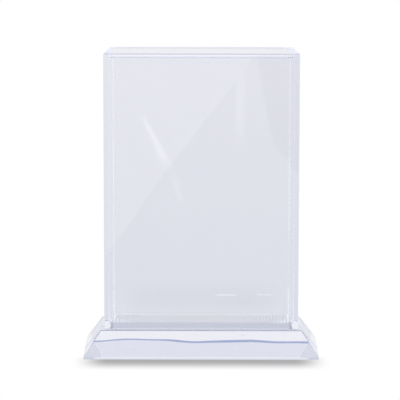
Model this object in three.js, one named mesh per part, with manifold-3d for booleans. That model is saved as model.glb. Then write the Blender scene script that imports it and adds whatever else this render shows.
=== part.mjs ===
// Card deck display box: a clear five-sided cover standing over the ribbed platform of a
// clear bevelled base. Millimetres, +Z up, the front towards -Y, origin under the middle of the base.

import * as THREE from 'three';
import { mergeVertices } from 'three/addons/utils/BufferGeometryUtils.js';
import Module from 'manifold-3d';

const wasm = await Module();
wasm.setup();

// Base: one solid block with four bevelled sides and a short upright foot
const baseWidth = 88.0;
const baseDepth = 36.2;
const baseHeight = 9.9;
const footHeight = 0.8;
const bevelSide = 6.4;
const bevelFront = 5.6;

// Cover: open at the bottom, its plan slightly narrower at the back than at the front
const coverFrontWidth = 72.8;
const coverBackWidth = 68.8;
const coverDepth = 21.4;
const coverHeight = 104.0;
const coverWall = 1.5;

// Platform: stands up inside the cover and carries the deck
const platformGap = 0.35;
const platformHeight = 2.4;
const platformCorner = 2.4;

// Ribs: a row of ridges across the top of the platform, running front to back
const ribPitch = 1.27;
const ribDepth = 0.4;

const overlap = 1.0;

const clearPlastic = { color: 0xe4e6f2, roughness: 0.06, metalness: 0.0 };

// Half the width of the cover's outline, moved in by an inset, at a distance y from its middle
function coverHalfWidth(y, inset) {
  const slope = (coverFrontWidth - coverBackWidth) / 2 / coverDepth;
  const middle = (coverFrontWidth + coverBackWidth) / 4;
  return middle - slope * y - inset * Math.hypot(1, slope);
}

// The cover's outline moved in by an inset, with its corners rounded
function coverOutline(inset, radius) {
  const front = -coverDepth / 2 + inset;
  const back = coverDepth / 2 - inset;
  const corners = [
    new THREE.Vector2(-coverHalfWidth(front, inset), front),
    new THREE.Vector2(coverHalfWidth(front, inset), front),
    new THREE.Vector2(coverHalfWidth(back, inset), back),
    new THREE.Vector2(-coverHalfWidth(back, inset), back),
  ];
  const shape = new THREE.Shape();
  corners.forEach((corner, i) => {
    const before = corners[(i + 3) % 4].clone().sub(corner).setLength(radius).add(corner);
    const after = corners[(i + 1) % 4].clone().sub(corner).setLength(radius).add(corner);
    if (i === 0) {
      shape.moveTo(before.x, before.y);
    } else {
      shape.lineTo(before.x, before.y);
    }
    if (radius > 0) {
      shape.quadraticCurveTo(corner.x, corner.y, after.x, after.y);
    }
  });
  shape.closePath();
  return shape;
}

function extrudeUp(shape, bottom, height) {
  const geometry = new THREE.ExtrudeGeometry(shape, { depth: height, bevelEnabled: false, curveSegments: 5 });
  return geometry.translate(0, 0, bottom);
}

// Box whose width and depth change from one height to the next: sections are [z, width, depth]
function steppedBox(sections) {
  const last = sections.length - 1;
  const geometry = new THREE.BoxGeometry(1, 1, 1, 1, 1, last);
  const position = geometry.attributes.position;
  for (let i = 0; i < position.count; i += 1) {
    const [z, width, depth] = sections[Math.round((position.getZ(i) + 0.5) * last)];
    position.setXYZ(i, position.getX(i) * width, position.getY(i) * depth, z);
  }
  return geometry;
}

// Comb of triangular grooves over the whole top of the platform
function ribGrooves(top, halfLength, width) {
  const count = Math.floor(width / ribPitch);
  const left = (-count * ribPitch) / 2;
  const shape = new THREE.Shape();
  shape.moveTo(left, top + overlap);
  for (let i = 0; i < count; i += 1) {
    shape.lineTo(left + i * ribPitch, top);
    shape.lineTo(left + (i + 0.5) * ribPitch, top - ribDepth);
  }
  shape.lineTo(left + count * ribPitch, top);
  shape.lineTo(left + count * ribPitch, top + overlap);
  shape.closePath();
  const geometry = new THREE.ExtrudeGeometry(shape, { depth: 2 * halfLength, bevelEnabled: false });
  return geometry.rotateX(Math.PI / 2).translate(0, halfLength, 0);
}

function solid(geometry) {
  geometry.deleteAttribute('normal');
  geometry.deleteAttribute('uv');
  const merged = mergeVertices(geometry, 1e-5);
  return new wasm.Manifold(new wasm.Mesh({
    numProp: 3,
    vertProperties: new Float32Array(merged.attributes.position.array),
    triVerts: new Uint32Array(merged.index.array),
  }));
}

function addPiece(group, name, shape, look) {
  const result = shape.getMesh();
  const geometry = new THREE.BufferGeometry();
  geometry.setAttribute('position', new THREE.BufferAttribute(result.vertProperties, 3));
  geometry.setIndex(new THREE.BufferAttribute(result.triVerts, 1));
  geometry.computeVertexNormals();
  const mesh = new THREE.Mesh(geometry, new THREE.MeshStandardMaterial(look));
  mesh.name = name;
  group.add(mesh);
}

function makeBase() {
  const block = solid(steppedBox([
    [0, baseWidth, baseDepth],
    [footHeight, baseWidth, baseDepth],
    [baseHeight, baseWidth - 2 * bevelSide, baseDepth - 2 * bevelFront],
  ]));

  const platformInset = coverWall + platformGap;
  const platformTop = baseHeight + platformHeight;
  const platformOutline = coverOutline(platformInset, platformCorner);
  const platform = solid(extrudeUp(platformOutline, baseHeight - overlap, platformHeight + overlap));
  const grooves = solid(ribGrooves(platformTop, coverDepth / 2, 2 * coverHalfWidth(-coverDepth / 2, platformInset)));

  return block.add(platform).subtract(grooves);
}

function makeCover() {
  const outside = solid(extrudeUp(coverOutline(0, 0), baseHeight, coverHeight));
  const inside = solid(extrudeUp(coverOutline(coverWall, 0), baseHeight - overlap, coverHeight - coverWall + overlap));
  return outside.subtract(inside);
}

const group = new THREE.Group();
group.name = 'card_deck_box';
addPiece(group, 'base', makeBase(), clearPlastic);
addPiece(group, 'cover', makeCover(), clearPlastic);

export default group;
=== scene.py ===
import math

import bmesh
import bpy
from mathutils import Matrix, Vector


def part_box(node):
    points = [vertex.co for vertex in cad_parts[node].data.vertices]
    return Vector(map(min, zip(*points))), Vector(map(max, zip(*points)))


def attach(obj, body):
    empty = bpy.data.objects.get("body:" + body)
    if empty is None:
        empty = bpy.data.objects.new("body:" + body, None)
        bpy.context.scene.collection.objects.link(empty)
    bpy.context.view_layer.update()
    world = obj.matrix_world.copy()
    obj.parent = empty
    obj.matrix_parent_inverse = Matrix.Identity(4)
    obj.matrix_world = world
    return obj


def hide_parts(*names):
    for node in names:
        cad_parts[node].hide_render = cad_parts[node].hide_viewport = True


mm = 0.001

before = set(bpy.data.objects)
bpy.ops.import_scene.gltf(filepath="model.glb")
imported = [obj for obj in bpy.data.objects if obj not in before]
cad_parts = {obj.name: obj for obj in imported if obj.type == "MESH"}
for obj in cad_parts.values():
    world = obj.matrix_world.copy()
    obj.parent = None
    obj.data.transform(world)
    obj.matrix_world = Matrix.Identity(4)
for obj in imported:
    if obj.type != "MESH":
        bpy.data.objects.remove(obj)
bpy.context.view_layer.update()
print("frame loaded:", sorted(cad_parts))


def addNode(tree, kind, place, label=None, **settings):
    node = tree.nodes.new(kind)
    node.location = place
    if label:
        node.label = label
    for name, value in settings.items():
        setattr(node, name, value)
    return node


def setInputs(node, values):
    for name, value in values.items():
        node.inputs[name].default_value = value


def newGroup(name, inputs, outputs):
    group = bpy.data.node_groups.new(name, "ShaderNodeTree")
    for label, kind, value in inputs:
        socket = group.interface.new_socket(name=label, in_out="INPUT", socket_type=kind)
        socket.default_value = value
    for label, kind in outputs:
        group.interface.new_socket(name=label, in_out="OUTPUT", socket_type=kind)
    start = addNode(group, "NodeGroupInput", (-900, 0))
    end = addNode(group, "NodeGroupOutput", (900, 0))
    return group, start, end


def placeGroup(tree, group, place, values):
    node = addNode(tree, "ShaderNodeGroup", place, label=group.name)
    node.node_tree = group
    setInputs(node, values)
    return node


def feed(tree, target, value):
    # a colour is set on the socket, anything else is linked to it
    if isinstance(value, tuple):
        target.default_value = (*value, 1.0)
    else:
        tree.links.new(value, target)


def addRamp(tree, source, start, end, place):
    # smooth step from 0 at the start to 1 at the end, whichever of the two is larger
    node = addNode(tree, "ShaderNodeMapRange", place, interpolation_type="SMOOTHSTEP")
    setInputs(node, {"From Min": min(start, end), "From Max": max(start, end)})
    if start > end:
        setInputs(node, {"To Min": 1.0, "To Max": 0.0})
    tree.links.new(source, node.inputs["Value"])
    return node.outputs["Result"]


def addTimes(tree, first, second, place):
    node = addNode(tree, "ShaderNodeMath", place, operation="MULTIPLY")
    tree.links.new(first, node.inputs[0])
    tree.links.new(second, node.inputs[1])
    return node.outputs["Value"]


def addBlend(tree, mask, low, high, place):
    node = addNode(tree, "ShaderNodeMix", place, data_type="RGBA")
    tree.links.new(mask, node.inputs["Factor"])
    feed(tree, node.inputs["A"], low)
    feed(tree, node.inputs["B"], high)
    return node.outputs["Result"]


def addShaderMix(tree, mask, first, second, place):
    node = addNode(tree, "ShaderNodeMixShader", place)
    tree.links.new(mask, node.inputs["Fac"])
    tree.links.new(first, node.inputs[1])
    tree.links.new(second, node.inputs[2])
    return node.outputs["Shader"]


def newMaterial(name):
    material = bpy.data.materials.new(name)
    material.use_nodes = True
    tree = material.node_tree
    tree.nodes.clear()
    output = addNode(tree, "ShaderNodeOutputMaterial", (1100, 0))
    return material, tree, output


def newObject(name, mesh):
    made = bpy.data.objects.new(name, mesh)
    bpy.context.scene.collection.objects.link(made)
    return made


flatShading = {
    "areaPower": 3,  # how strongly a broad face outweighs the strips beside it
    "leastWeight": 1e-15,
    "scale": 1e6,
}


def smoothRounds(piece, degrees):
    # the narrow rounded strips shade smoothly while the broad faces stay truly flat
    mesh = piece.data
    mesh.polygons.foreach_set("use_smooth", [True] * len(mesh.polygons))
    limit = math.cos(math.radians(degrees))
    broadest = max(face.area for face in mesh.polygons)
    around = {}
    for face in mesh.polygons:
        weight = (face.area / broadest) ** flatShading["areaPower"] + flatShading["leastWeight"]
        for corner in face.vertices:
            around.setdefault(corner, []).append((face.normal.copy(), weight))
    normals = []
    for face in mesh.polygons:
        for corner in face.vertices:
            total = Vector((0.0, 0.0, 0.0))
            for normal, weight in around[corner]:
                if normal.dot(face.normal) >= limit:
                    total += normal * weight * flatShading["scale"]
            normals.append(total.normalized())
    mesh.normals_split_custom_set(normals)


def makeMouldedSwell():
    # slow waviness that a thin moulded panel keeps after it cools
    group, start, end = newGroup("moulded swell", [
        ("Scale", "NodeSocketFloat", 20.0),
        ("Stretch", "NodeSocketVector", (1.0, 1.0, 1.0)),
    ], [("Height", "NodeSocketFloat")])
    links = group.links
    coords = addNode(group, "ShaderNodeTexCoord", (-900, 300))
    stretch = addNode(group, "ShaderNodeVectorMath", (-650, 200), operation="MULTIPLY")
    noise = addNode(group, "ShaderNodeTexNoise", (-400, 200), noise_dimensions="3D")
    setInputs(noise, {"Detail": 1.0, "Roughness": 0.35, "Distortion": 0.2})
    links.new(coords.outputs["Object"], stretch.inputs[0])
    links.new(start.outputs["Stretch"], stretch.inputs[1])
    links.new(stretch.outputs["Vector"], noise.inputs["Vector"])
    links.new(start.outputs["Scale"], noise.inputs["Scale"])
    links.new(noise.outputs["Fac"], end.inputs["Height"])
    return group


def makeHandlingMarks():
    # hairline scratches and faint wiped smudges
    group, start, end = newGroup("handling marks", [
        ("Scratch Scale", "NodeSocketFloat", 260.0),
        ("Scratch Amount", "NodeSocketFloat", 0.5),
        ("Smudge Scale", "NodeSocketFloat", 45.0),
        ("Smudge Amount", "NodeSocketFloat", 0.5),
    ], [
        ("Scratches", "NodeSocketFloat"),
        ("Smudges", "NodeSocketFloat"),
        ("Height", "NodeSocketFloat"),
    ])
    links = group.links
    coords = addNode(group, "ShaderNodeTexCoord", (-900, 300))
    masks = []
    for turn, shift in ((0.5, 0.0), (-0.9, 3.7)):
        place = addNode(group, "ShaderNodeMapping", (-700, 300 - 300 * len(masks)))
        setInputs(place, {
            "Rotation": (0.2, turn, 0.1),
            "Location": (shift, 0.0, shift),
            "Scale": (1.0, 1.0, 0.035),
        })
        lines = addNode(group, "ShaderNodeTexNoise", (-500, 300 - 300 * len(masks)), noise_dimensions="3D")
        setInputs(lines, {"Detail": 2.0, "Roughness": 0.6, "Distortion": 0.15})
        thin = addNode(group, "ShaderNodeMapRange", (-300, 300 - 300 * len(masks)))
        setInputs(thin, {"From Min": 0.70, "From Max": 0.76, "To Min": 0.0, "To Max": 1.0})
        links.new(coords.outputs["Object"], place.inputs["Vector"])
        links.new(place.outputs["Vector"], lines.inputs["Vector"])
        links.new(start.outputs["Scratch Scale"], lines.inputs["Scale"])
        links.new(lines.outputs["Fac"], thin.inputs["Value"])
        masks.append(thin)
    both = addNode(group, "ShaderNodeMath", (-80, 200), operation="MAXIMUM")
    links.new(masks[0].outputs["Result"], both.inputs[0])
    links.new(masks[1].outputs["Result"], both.inputs[1])
    scratches = addTimes(group, both.outputs["Value"], start.outputs["Scratch Amount"], (120, 200))
    wiped = addNode(group, "ShaderNodeTexNoise", (-500, -400), noise_dimensions="3D")
    setInputs(wiped, {"Detail": 4.0, "Roughness": 0.65, "Distortion": 1.2})
    soft = addNode(group, "ShaderNodeMapRange", (-300, -400))
    setInputs(soft, {"From Min": 0.45, "From Max": 0.75, "To Min": 0.0, "To Max": 1.0})
    links.new(coords.outputs["Object"], wiped.inputs["Vector"])
    links.new(start.outputs["Smudge Scale"], wiped.inputs["Scale"])
    links.new(wiped.outputs["Fac"], soft.inputs["Value"])
    smudges = addTimes(group, soft.outputs["Result"], start.outputs["Smudge Amount"], (120, -300))
    depth = addNode(group, "ShaderNodeMath", (350, 0), operation="MULTIPLY")
    depth.inputs[1].default_value = -1.0  # scratches go into the surface
    links.new(scratches, depth.inputs[0])
    links.new(scratches, end.inputs["Scratches"])
    links.new(smudges, end.inputs["Smudges"])
    links.new(depth.outputs["Value"], end.inputs["Height"])
    return group


mouldedSwell = makeMouldedSwell()
handlingMarks = makeHandlingMarks()


def makeClearPlastic(name, look):
    material, tree, output = newMaterial(name)
    links = tree.links
    shader = addNode(tree, "ShaderNodeBsdfPrincipled", (300, 0))
    links.new(shader.outputs["BSDF"], output.inputs["Surface"])
    setInputs(shader, {
        "Transmission Weight": 1.0,
        "IOR": look["ior"],
        "Metallic": 0.0,
        "Emission Strength": 1.0,
    })
    swell = placeGroup(tree, mouldedSwell, (-900, -300), {
        "Scale": look["swellScale"], "Stretch": look["swellStretch"]})
    marks = placeGroup(tree, handlingMarks, (-900, 100), {
        "Scratch Scale": look["scratchScale"], "Scratch Amount": look["scratchAmount"],
        "Smudge Scale": look["smudgeScale"], "Smudge Amount": look["smudgeAmount"]})
    inside = addNode(tree, "ShaderNodeVolumeAbsorption", (300, -400))
    setInputs(inside, {"Color": (*look["depthColour"], 1.0), "Density": look["depthDensity"]})
    links.new(inside.outputs["Volume"], output.inputs["Volume"])
    tint = addBlend(tree, marks.outputs["Smudges"], look["clearColour"], look["hazeColour"], (0, 250))
    links.new(tint, shader.inputs["Base Color"])
    # painted light: rays that have passed round inside the walls many times pick up an even pale glow
    # emitted by the plastic
    rays = addNode(tree, "ShaderNodeLightPath", (-400, 600))
    late = addNode(tree, "ShaderNodeMath", (-200, 600), operation="COMPARE")
    late.inputs[1].default_value = look["glowAfter"]
    late.inputs[2].default_value = 0.5
    links.new(rays.outputs["Ray Depth"], late.inputs[0])
    glow = addBlend(tree, late.outputs["Value"], (0.0, 0.0, 0.0), look["glowColour"], (0, 500))
    links.new(glow, shader.inputs["Emission Color"])
    haze = addNode(tree, "ShaderNodeMath", (-400, 50), operation="MAXIMUM")
    rough = addNode(tree, "ShaderNodeMapRange", (0, 0))
    setInputs(rough, {"To Min": look["roughClear"], "To Max": look["roughMarked"]})
    links.new(marks.outputs["Scratches"], haze.inputs[0])
    links.new(marks.outputs["Smudges"], haze.inputs[1])
    links.new(haze.outputs["Value"], rough.inputs["Value"])
    links.new(rough.outputs["Result"], shader.inputs["Roughness"])
    wave = addNode(tree, "ShaderNodeBump", (-250, -300))
    setInputs(wave, {"Strength": 1.0, "Distance": look["swellDepth"]})
    scratch = addNode(tree, "ShaderNodeBump", (0, -300))
    setInputs(scratch, {"Strength": 1.0, "Distance": look["scratchDepth"]})
    links.new(swell.outputs["Height"], wave.inputs["Height"])
    links.new(marks.outputs["Height"], scratch.inputs["Height"])
    links.new(wave.outputs["Normal"], scratch.inputs["Normal"])
    links.new(scratch.outputs["Normal"], shader.inputs["Normal"])
    return material


def roundedOutline(corners, radius, steps):
    # corners go round once; each is cut back by the radius along both sides and joined by an arc
    points = []
    count = len(corners)
    for i, corner in enumerate(corners):
        here = Vector(corner)
        before = (Vector(corners[i - 1]) - here).normalized()
        after = (Vector(corners[(i + 1) % count]) - here).normalized()
        half = before.angle(after) / 2
        cut = radius / math.tan(half)
        centre = here + (before + after).normalized() * (radius / math.sin(half))
        first = here + before * cut - centre
        last = here + after * cut - centre
        angle = first.angle(last)
        for k in range(steps + 1):
            t = k / steps
            a = math.sin((1 - t) * angle) / math.sin(angle)
            b = math.sin(t * angle) / math.sin(angle)
            points.append(centre + first * a + last * b)
    return points


def coverCorners(cover, inset):
    slope = (cover["frontWidth"] - cover["backWidth"]) / 2 / cover["depth"]
    middle = (cover["frontWidth"] + cover["backWidth"]) / 4
    front = -cover["depth"] / 2 + inset
    back = cover["depth"] / 2 - inset

    def halfAt(y):
        return middle - slope * y - inset * math.hypot(1, slope)

    frontHalf = halfAt(front)
    backHalf = halfAt(back)
    return [(-frontHalf, front), (frontHalf, front), (backHalf, back), (-backHalf, back)]


def boxCorners(width, depth):
    x = width / 2
    y = depth / 2
    return [(-x, -y), (x, -y), (x, y), (-x, y)]


def loftRings(name, rings):
    # each ring is (outline, z); the first and last rings are capped
    made = bmesh.new()
    rows = [[made.verts.new((p.x * mm, p.y * mm, z * mm)) for p in outline] for outline, z in rings]
    for lower, upper in zip(rows, rows[1:]):
        for i in range(len(lower)):
            j = (i + 1) % len(lower)
            made.faces.new((lower[i], lower[j], upper[j], upper[i]))
    made.faces.new(list(reversed(rows[0])))
    made.faces.new(rows[-1])
    bmesh.ops.recalc_face_normals(made, faces=made.faces)
    mesh = bpy.data.meshes.new(name)
    made.to_mesh(mesh)
    made.free()
    return mesh


cover = {
    "frontWidth": 72.8,
    "backWidth": 68.8,
    "depth": 21.4,
    "wall": 1.5,
    "outerRadius": 0.35,
    "innerRadius": 0.55,
    "leastRadius": 0.1,
    "rimBevel": 0.15,
    "restGap": 0.04,  # thin air gap under the rim, so that it doesn't fuse with the deck
    "edgeSteps": 4,
    "smoothAngle": 35,
}
coverLow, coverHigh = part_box("cover")
coverBottom = coverLow.z / mm + cover["restGap"]
coverTop = coverHigh.z / mm


def makeCover(c):
    steps = c["edgeSteps"]
    outer = c["outerRadius"]
    inner = c["innerRadius"]
    rim = c["rimBevel"]
    rings = []

    def outerRing(inset, z):
        radius = max(outer - inset * 0.5, c["leastRadius"])
        rings.append((roundedOutline(coverCorners(c, inset), radius, steps), z))

    def innerRing(inset, z):
        rings.append((roundedOutline(coverCorners(c, c["wall"] + inset), inner, steps), z))

    # from the middle of the inside ceiling, down the inside, round the rim and up the outside
    ceiling = coverTop - c["wall"]
    for k in range(steps + 1):
        a = math.pi / 2 * k / steps
        innerRing(inner * (1 - math.sin(a)), ceiling - inner * (1 - math.cos(a)))
    innerRing(0.0, coverBottom + rim)
    innerRing(-rim, coverBottom)
    outerRing(rim, coverBottom)
    outerRing(0.0, coverBottom + rim)
    for k in range(steps + 1):
        a = math.pi / 2 * k / steps
        outerRing(outer * (1 - math.cos(a)), coverTop - outer * (1 - math.sin(a)))
    piece = newObject("clearCover", loftRings("clearCover", rings))
    smoothRounds(piece, c["smoothAngle"])
    return piece


coverLook = {
    "ior": 1.5,
    "clearColour": (0.99, 0.99, 0.995),
    "depthColour": (0.0, 0.18, 0.74),
    "depthDensity": 1.8,
    "hazeColour": (0.97, 0.97, 0.98),
    "glowAfter": 14.0,
    "glowColour": (0.66, 0.69, 0.80),
    "roughClear": 0.0,
    "roughMarked": 0.06,
    "swellScale": 18.0,
    "swellStretch": (1.0, 1.0, 0.6),
    "swellDepth": 0.0001,
    "scratchScale": 260.0,
    "scratchAmount": 0.5,
    "scratchDepth": 0.000004,
    "smudgeScale": 45.0,
    "smudgeAmount": 0.5,
}

clearCover = makeCover(cover)
clearCover.data.materials.append(makeClearPlastic("clear cover plastic", coverLook))
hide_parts("cover")
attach(clearCover, "cover")
print("cover made:", len(clearCover.data.polygons), "faces")


base = {
    "width": 88.0,
    "depth": 36.2,
    "height": 9.9,
    "foot": 0.8,
    "bevelSide": 6.4,
    "bevelFront": 5.6,
    "platformGap": 0.35,
    "platformHeight": 2.4,
    "platformCorner": 2.4,
    "edgeRadius": 0.2,
    "edgeSteps": 3,
    "cornerSteps": 6,
    "fillet": 0.15,
    # how far the deck's edge ring lies down and in, as parts of the edge radius
    "deckRound": [(0.0, 1.0), (0.25, 0.22), (0.8, 0.0)],
    "footRound": 0.12,
    "footStep": 0.1,
    "ribPitch": 1.27,
    "ribDepth": 0.4,
    "ribSteps": 6,
    "ribSkim": 0.004,  # the crests are skimmed this much, so that the cut never grazes the top
    "cutterRise": 1.0,
    "smoothAngle": 32,
}


def makeBase(b, c):
    steps = b["edgeSteps"]
    cornerSteps = b["cornerSteps"]
    corner = b["platformCorner"]
    fillet = b["fillet"]
    edge = b["edgeRadius"]
    rise = b["height"] - b["foot"]
    top = b["height"]
    platformTop = top + b["platformHeight"]
    inset = c["wall"] + b["platformGap"]
    rings = []

    def platformRing(extra, z, radius):
        rings.append((roundedOutline(coverCorners(c, inset + extra), radius, cornerSteps), z))

    def bevelRing(z, less=0.0):
        t = max(z - b["foot"], 0) / rise
        width = b["width"] - 2 * b["bevelSide"] * t - 2 * less
        depth = b["depth"] - 2 * b["bevelFront"] * t - 2 * less
        rings.append((roundedOutline(boxCorners(width, depth), edge, cornerSteps), z))

    # platform top, its rounded rim and side, then the fillet onto the deck
    for k in range(steps + 1):
        a = math.pi / 2 * k / steps
        platformRing(edge * (1 - math.sin(a)), platformTop - edge * (1 - math.cos(a)), corner)
    platformRing(0.0, top + fillet, corner)
    platformRing(-fillet, top, corner + fillet)
    # deck edge rolled over into the bevel, down to the foot
    for down, inwards in b["deckRound"]:
        bevelRing(top - edge * down, edge * inwards)
    bevelRing(b["foot"] + b["footRound"])
    bevelRing(b["foot"] - b["footStep"])
    bevelRing(b["footRound"])
    bevelRing(0.0, b["footRound"])
    return newObject("clearBase", loftRings("clearBase", rings))


def cutRibs(piece, b, c):
    # a comb of rounded grooves drawn across the platform top, taken away in one cut
    top = b["height"] + b["platformHeight"]
    corners = coverCorners(c, c["wall"] + b["platformGap"])
    count = math.floor((corners[1][0] - corners[0][0]) / b["ribPitch"])
    left = -count * b["ribPitch"] / 2
    line = [(left, top + b["cutterRise"])]
    for i in range(count * b["ribSteps"] + 1):
        t = i / b["ribSteps"]
        groove = b["ribDepth"] * (0.5 - 0.5 * math.cos(2 * math.pi * t))
        line.append((left + t * b["ribPitch"], top - groove - b["ribSkim"]))
    line.append((-left, top + b["cutterRise"]))
    reach = c["depth"] / 2
    cutter = bmesh.new()
    front = [cutter.verts.new((x * mm, -reach * mm, z * mm)) for x, z in line]
    back = [cutter.verts.new((x * mm, reach * mm, z * mm)) for x, z in line]
    for i in range(len(line)):
        j = (i + 1) % len(line)
        cutter.faces.new((front[i], front[j], back[j], back[i]))
    cutter.faces.new(front)
    cutter.faces.new(back)
    bmesh.ops.recalc_face_normals(cutter, faces=cutter.faces)
    mesh = bpy.data.meshes.new("ribCutter")
    cutter.to_mesh(mesh)
    cutter.free()
    tool = newObject("ribCutter", mesh)
    cut = piece.modifiers.new("ribs", "BOOLEAN")
    cut.object = tool
    cut.operation = "DIFFERENCE"
    cut.solver = "EXACT"
    shown = bpy.context.evaluated_depsgraph_get()
    result = bpy.data.meshes.new_from_object(piece.evaluated_get(shown))
    piece.modifiers.clear()
    piece.data = result
    bpy.data.objects.remove(tool)


baseLook = {
    "ior": 1.5,
    "clearColour": (0.99, 0.99, 0.995),
    "depthColour": (0.0, 0.18, 0.74),
    "depthDensity": 1.8,
    "hazeColour": (0.955, 0.96, 0.975),
    "glowAfter": 14.0,
    "glowColour": (0.66, 0.69, 0.80),
    "roughClear": 0.0,
    "roughMarked": 0.006,
    "swellScale": 30.0,
    "swellStretch": (1.0, 1.0, 1.0),
    "swellDepth": 0.00001,
    "scratchScale": 300.0,
    "scratchAmount": 0.5,
    "scratchDepth": 0.000004,
    "smudgeScale": 60.0,
    "smudgeAmount": 0.5,
}

clearBase = makeBase(base, cover)
cutRibs(clearBase, base, cover)
smoothRounds(clearBase, base["smoothAngle"])
clearBase.data.materials.append(makeClearPlastic("clear base plastic", baseLook))
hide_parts("base")
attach(clearBase, "base")
print("base made:", len(clearBase.data.polygons), "faces")


camera = {
    "place": (-0.00013, -1.04467, 0.23833),
    "pitch": 0.17158,
    "yaw": 0.00067,
    "roll": -0.00168,
    "lens": 253.764,
    "sensor": 36.0,
}


def makeCamera(c):
    lens = bpy.data.cameras.new("studioCamera")
    lens.sensor_width = c["sensor"]
    lens.lens = c["lens"]
    lens.clip_end = 50.0
    lens.dof.use_dof = False
    eye = newObject("studioCamera", lens)
    eye.location = c["place"]
    eye.rotation_euler = (math.pi / 2 - c["pitch"], c["roll"], c["yaw"])
    bpy.context.scene.camera = eye


makeCamera(camera)


stage = {
    "bounces": 40,
    "floorSize": 5.0,
    "floorDrop": 0.00005,
    "floorRough": 0.03,
    "floorIor": 1.5,
    "floorWhite": (1.0, 1.0, 1.0),
    # tones of the floor in reflections and through the clear plastic, with painted shade under the base and
    # painted light beside it
    "floorThroughClear": (0.665, 0.685, 0.765),
    "paintedLightBesideBase": (0.98, 0.98, 1.0),
    "shadeUnderBase": (0.42, 0.44, 0.53),
    # where those tones lie, with the width of their soft edges
    "underHalfWidth": 0.037,
    "underHalfDepth": 0.018,
    "underOut": 0.001,
    "underIn": 0.003,
    "besideFrom": 0.040,
    "besideHalfDepth": 0.045,
    "besideFade": (0.003, 0.01),
    # the drawn shadow in front of the base
    "shadowColour": (0.43, 0.43, 0.44),
    "shadowHalfWidth": 0.0485,
    "shadowSideFade": 0.014,
    "shadowFront": -0.0365,
    "shadowDarkest": -0.0205,
    "shadowBack": -0.011,
    "shadowBackFull": -0.018,
    "worldSeen": (1.0, 1.0, 1.0),
    "lightLow": (0.91, 0.905, 0.935),
    # each later tone takes over between its two heights: 0 is level and 1 is straight up
    "lightByHeight": [
        (0.21929, 0.21946, (0.36, 0.42, 0.64)),
        (0.21991, 0.22008, (0.785, 0.79, 0.867)),
        (0.27, 0.36, (0.97, 0.98, 1.0)),
    ],
    "greyGap": (0.20, 0.22, 0.31),
    # the gap fades in from the first number to the second along each direction
    "greyGapSides": [("Z", 0.25, 0.34), ("Z", 0.86, 0.66), ("Y", 0.30, 0.60)],
}


def makeFloor(s):
    # evenly lit white sweep with a short soft painted shadow thrown forwards
    made = bmesh.new()
    bmesh.ops.create_grid(made, x_segments=1, y_segments=1, size=s["floorSize"] / 2)
    mesh = bpy.data.meshes.new("floor")
    made.to_mesh(mesh)
    made.free()
    floor = newObject("floor", mesh)
    floor.location.z = -s["floorDrop"]
    material, tree, output = newMaterial("pale floor")
    links = tree.links
    coords = addNode(tree, "ShaderNodeTexCoord", (-900, 0))
    parts = addNode(tree, "ShaderNodeSeparateXYZ", (-700, 0))
    links.new(coords.outputs["Object"], parts.inputs["Vector"])

    def distance(axis, place):
        node = addNode(tree, "ShaderNodeMath", place, operation="ABSOLUTE")
        links.new(parts.outputs[axis], node.inputs[0])
        return node.outputs["Value"]

    aside = distance("X", (-500, 100))
    deep = distance("Y", (-500, -500))
    # painted shadow on the floor in front of the base
    halfWidth = s["shadowHalfWidth"]
    across = addRamp(tree, aside, halfWidth, halfWidth - s["shadowSideFade"], (-300, 200))
    forwards = addRamp(tree, parts.outputs["Y"], s["shadowFront"], s["shadowDarkest"], (-300, 0))
    backwards = addRamp(tree, parts.outputs["Y"], s["shadowBack"], s["shadowBackFull"], (-300, -200))
    paintedShadow = addTimes(tree, addTimes(tree, across, forwards, (-100, 100)), backwards, (50, 100))

    # zone of painted shade on the floor under the base
    halfWidth = s["underHalfWidth"]
    halfDepth = s["underHalfDepth"]
    within = addRamp(tree, aside, halfWidth + s["underOut"], halfWidth - s["underIn"], (-300, -400))
    amid = addRamp(tree, deep, halfDepth + s["underOut"], halfDepth - s["underIn"], (-300, -600))
    under = addTimes(tree, within, amid, (-100, -400))

    # zone of painted light on the floor beside the base
    sideFade, depthFade = s["besideFade"]
    wide = addRamp(tree, aside, s["besideFrom"], s["besideFrom"] + sideFade, (-300, -800))
    near = addRamp(tree, deep, s["besideHalfDepth"], s["besideHalfDepth"] - depthFade, (-300, -1000))
    beside = addTimes(tree, wide, near, (-100, -800))

    direct = addNode(tree, "ShaderNodeEmission", (500, 100))
    through = addNode(tree, "ShaderNodeEmission", (500, -100))
    seenTone = addBlend(tree, paintedShadow, s["floorWhite"], s["shadowColour"], (250, 100))
    # in reflections and through the clear plastic the floor is darker than seen straight on, with painted
    # shade under the base
    plainTone = addBlend(tree, under, s["floorThroughClear"], s["shadeUnderBase"], (250, -300))
    # painted light on the floor beside the base
    throughTone = addBlend(tree, beside, plainTone, s["paintedLightBesideBase"], (400, -500))
    links.new(seenTone, direct.inputs["Color"])
    links.new(throughTone, through.inputs["Color"])

    polish = addNode(tree, "ShaderNodeBsdfGlossy", (500, -300))
    setInputs(polish, {"Color": (1.0, 1.0, 1.0, 1.0), "Roughness": s["floorRough"]})
    edgeOn = addNode(tree, "ShaderNodeFresnel", (500, -450))
    setInputs(edgeOn, {"IOR": s["floorIor"]})
    sheen = addShaderMix(tree, edgeOn.outputs["Fac"], through.outputs["Emission"],
                         polish.outputs["BSDF"], (700, -250))
    rays = addNode(tree, "ShaderNodeLightPath", (500, 300))
    finished = addShaderMix(tree, rays.outputs["Is Camera Ray"], sheen,
                            direct.outputs["Emission"], (900, 0))
    links.new(finished, output.inputs["Surface"])
    floor.data.materials.append(material)


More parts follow.
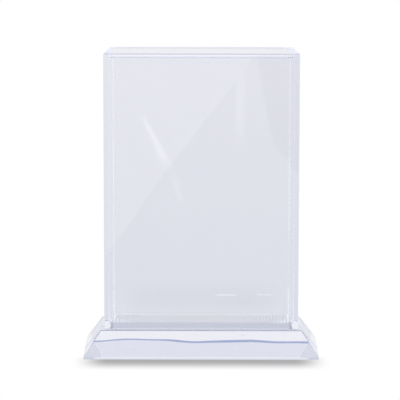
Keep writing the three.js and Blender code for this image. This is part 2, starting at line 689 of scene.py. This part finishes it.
def makeWorld(s):
    # plain white to look at; reflections and clear plastic show the backdrop, the gap and the overhead light
    world = bpy.data.worlds.new("studio")
    bpy.context.scene.world = world
    world.use_nodes = True
    tree = world.node_tree
    tree.nodes.clear()
    output = addNode(tree, "ShaderNodeOutputWorld", (1100, 0))
    coords = addNode(tree, "ShaderNodeTexCoord", (-900, -100))
    parts = addNode(tree, "ShaderNodeSeparateXYZ", (-750, -100))
    tree.links.new(coords.outputs["Generated"], parts.inputs["Vector"])
    tone = s["lightLow"]
    for i, (low, high, colour) in enumerate(s["lightByHeight"]):
        rise = addRamp(tree, parts.outputs["Z"], low, high, (-550 + 150 * i, -350))
        tone = addBlend(tree, rise, tone, colour, (-400 + 150 * i, -100))
    sides = [addRamp(tree, parts.outputs[axis], start, end, (100, -400 - 200 * i))
             for i, (axis, start, end) in enumerate(s["greyGapSides"])]
    gap = sides[0]
    for i, side in enumerate(sides[1:]):
        gap = addTimes(tree, gap, side, (300 + 150 * i, -400))
    tone = addBlend(tree, gap, tone, s["greyGap"], (600, -200))
    light = addNode(tree, "ShaderNodeBackground", (750, -100))
    tree.links.new(tone, light.inputs["Color"])
    seen = addNode(tree, "ShaderNodeBackground", (750, 100))
    setInputs(seen, {"Color": (*s["worldSeen"], 1.0)})
    rays = addNode(tree, "ShaderNodeLightPath", (750, 300))
    finished = addShaderMix(tree, rays.outputs["Is Camera Ray"], light.outputs["Background"],
                            seen.outputs["Background"], (900, 0))
    tree.links.new(finished, output.inputs["Surface"])


def throwFromPanel(place, height):
    # where the sight line to a place on the cover's front lands, once the front has mirrored it
    x, z = place
    point = Vector((x * mm, -cover["depth"] / 2 * mm, z * mm))
    away = point - Vector(camera["place"])
    away.y = -away.y
    return point + away * ((height * mm - point.z) / away.z)


def softCard(name, card):
    # a four-cornered card lying face up that fades out along its edges and shows only in reflections
    mesh = bpy.data.meshes.new(name)
    corners = [throwFromPanel(place, card["height"]) for place in card["onPanel"]]
    mesh.from_pydata(corners, [], [(0, 1, 2, 3)])
    layer = mesh.uv_layers.new(name="across")
    for loop, place in zip(layer.data, ((0, 0), (1, 0), (1, 1), (0, 1))):
        loop.uv = place
    if mesh.polygons[0].normal.z < 0:
        mesh.flip_normals()
    made = newObject(name, mesh)
    material, tree, output = newMaterial(name)
    coords = addNode(tree, "ShaderNodeTexCoord", (-900, 0))
    parts = addNode(tree, "ShaderNodeSeparateXYZ", (-700, 0))
    tree.links.new(coords.outputs["UV"], parts.inputs["Vector"])
    fades = []
    for i, (axis, width) in enumerate(zip(("X", "Y"), card["fade"])):
        away = addNode(tree, "ShaderNodeMath", (-500, -200 * i), operation="PINGPONG")
        away.inputs[1].default_value = 0.5
        tree.links.new(parts.outputs[axis], away.inputs[0])
        fades.append(addRamp(tree, away.outputs["Value"], 0.0, width, (-300, -200 * i)))
    side = addNode(tree, "ShaderNodeNewGeometry", (0, -300))
    above = addNode(tree, "ShaderNodeMath", (200, -300), operation="SUBTRACT")
    above.inputs[0].default_value = 1.0
    tree.links.new(side.outputs["Backfacing"], above.inputs[1])
    both = addTimes(tree, fades[0], fades[1], (0, 0))
    shown = addTimes(tree, both, above.outputs["Value"], (400, -300))
    clear = addNode(tree, "ShaderNodeBsdfTransparent", (400, 100))
    glow = addNode(tree, "ShaderNodeEmission", (400, -100))
    setInputs(glow, {"Color": (*card["colour"], 1.0), "Strength": card["strength"]})
    finished = addShaderMix(tree, shown, clear.outputs["BSDF"], glow.outputs["Emission"], (650, 0))
    tree.links.new(finished, output.inputs["Surface"])
    made.data.materials.append(material)
    made.visible_camera = False
    made.visible_diffuse = False
    made.visible_shadow = False
    made.visible_transmission = False


# laid out flat in front of the box and seen only in reflections: each is given by where its corners
# show in the plane of the cover's front, in mm to the right of the middle and above the table
cards = {
    "windowPane": {
        "onPanel": [(-38.2, 115.2), (20.0, 115.3), (-34.1, 39.4), (-38.6, 33.3)],
        "height": 1.0,
        "fade": (0.012, 0.01), "colour": (1.0, 1.0, 0.97), "strength": 1.4},
    "darkCorner": {
        "onPanel": [(19.3, 115.3), (38.5, 115.4), (38.9, 63.0), (26.9, 78.0)],
        "height": 1.0,
        "fade": (0.06, 0.12), "colour": (0.0, 0.0, 0.0), "strength": 0.0},
    # a dark card in place of the box's shadow on the floor in front, so that it shows in reflections:
    # painted shade
    "reflectedFloorShadow": {
        "onPanel": [(-31.2, 29.5), (32.1, 29.6), (32.2, 12.8), (-31.2, 12.7)],
        "height": 1.0,
        "fade": (0.16, 0.45), "colour": (0.0, 0.0, 0.0), "strength": 0.0},
    "uprightStreak": {
        "onPanel": [(10.4, 114.5), (17.3, 114.3), (17.4, 72.0), (10.8, 72.0)],
        "height": 1.5,
        "fade": (0.42, 0.40), "colour": (1.0, 1.0, 1.0), "strength": 1.5},
    "slantStreakHigh": {
        "onPanel": [(-25.3, 93.9), (-21.8, 93.9), (-7.2, 68.5), (-14.7, 68.5)],
        "height": 1.5,
        "fade": (0.48, 0.30), "colour": (1.0, 1.0, 1.0), "strength": 3.0},
    "slantStreakLow": {
        "onPanel": [(-14.4, 72.0), (-7.8, 72.0), (-3.5, 53.9), (-8.0, 53.9)],
        "height": 1.5,
        "fade": (0.48, 0.42), "colour": (1.0, 1.0, 1.0), "strength": 1.4},
    "leftDash": {
        "onPanel": [(4.4, 23.7), (14.1, 23.5), (14.1, 22.5), (4.4, 22.7)],
        "height": 1.5,
        "fade": (0.25, 0.45), "colour": (1.0, 1.0, 1.0), "strength": 2.6},
    "rightDash": {
        "onPanel": [(20.1, 23.7), (27.2, 23.5), (27.2, 22.6), (20.1, 22.7)],
        "height": 1.5,
        "fade": (0.25, 0.45), "colour": (1.0, 1.0, 1.0), "strength": 2.3},
}

# light has to pass through many clear walls before it gets out
paths = bpy.context.scene.cycles
paths.max_bounces = stage["bounces"]
paths.glossy_bounces = stage["bounces"]
paths.transmission_bounces = stage["bounces"]
makeFloor(stage)
makeWorld(stage)
for cardName, card in cards.items():
    softCard(cardName, card)
print("stage made")

view = bpy.context.scene.view_settings
view.view_transform = "Standard"
view.look = "None"
